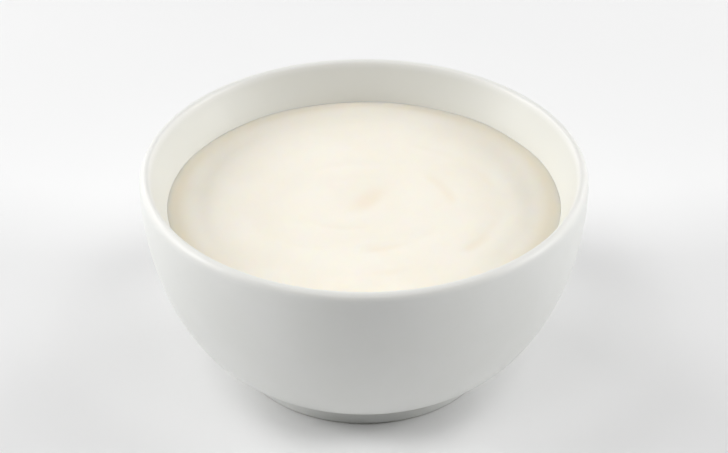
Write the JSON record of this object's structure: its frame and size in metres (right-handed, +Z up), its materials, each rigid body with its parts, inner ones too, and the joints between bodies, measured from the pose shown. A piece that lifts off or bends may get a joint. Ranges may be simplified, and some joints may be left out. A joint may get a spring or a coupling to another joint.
{
  "type": "bowl of yogurt",
  "caption": "White porcelain bowl with a foot ring and a rolled lip, filled with cream-coloured stirred yogurt to a little below its rim.",
  "frame": {"origin": "middle of the foot ring's underside, on the surface the bowl stands on", "axes": "+Z up along the bowl's axis; the yogurt's deepest grooves lie towards +X and -Y"},
  "size_m": [0.14, 0.14, 0.0694],
  "materials": {
    "porcelain": "glossy white glaze, bare on the foot ring's underside",
    "yogurt": "smooth and moist, softly glossy, cream-coloured"
  },
  "bodies": {
    "root": {"bowl": "porcelain", "yogurt": "yogurt"}
  },
  "joints": []
}
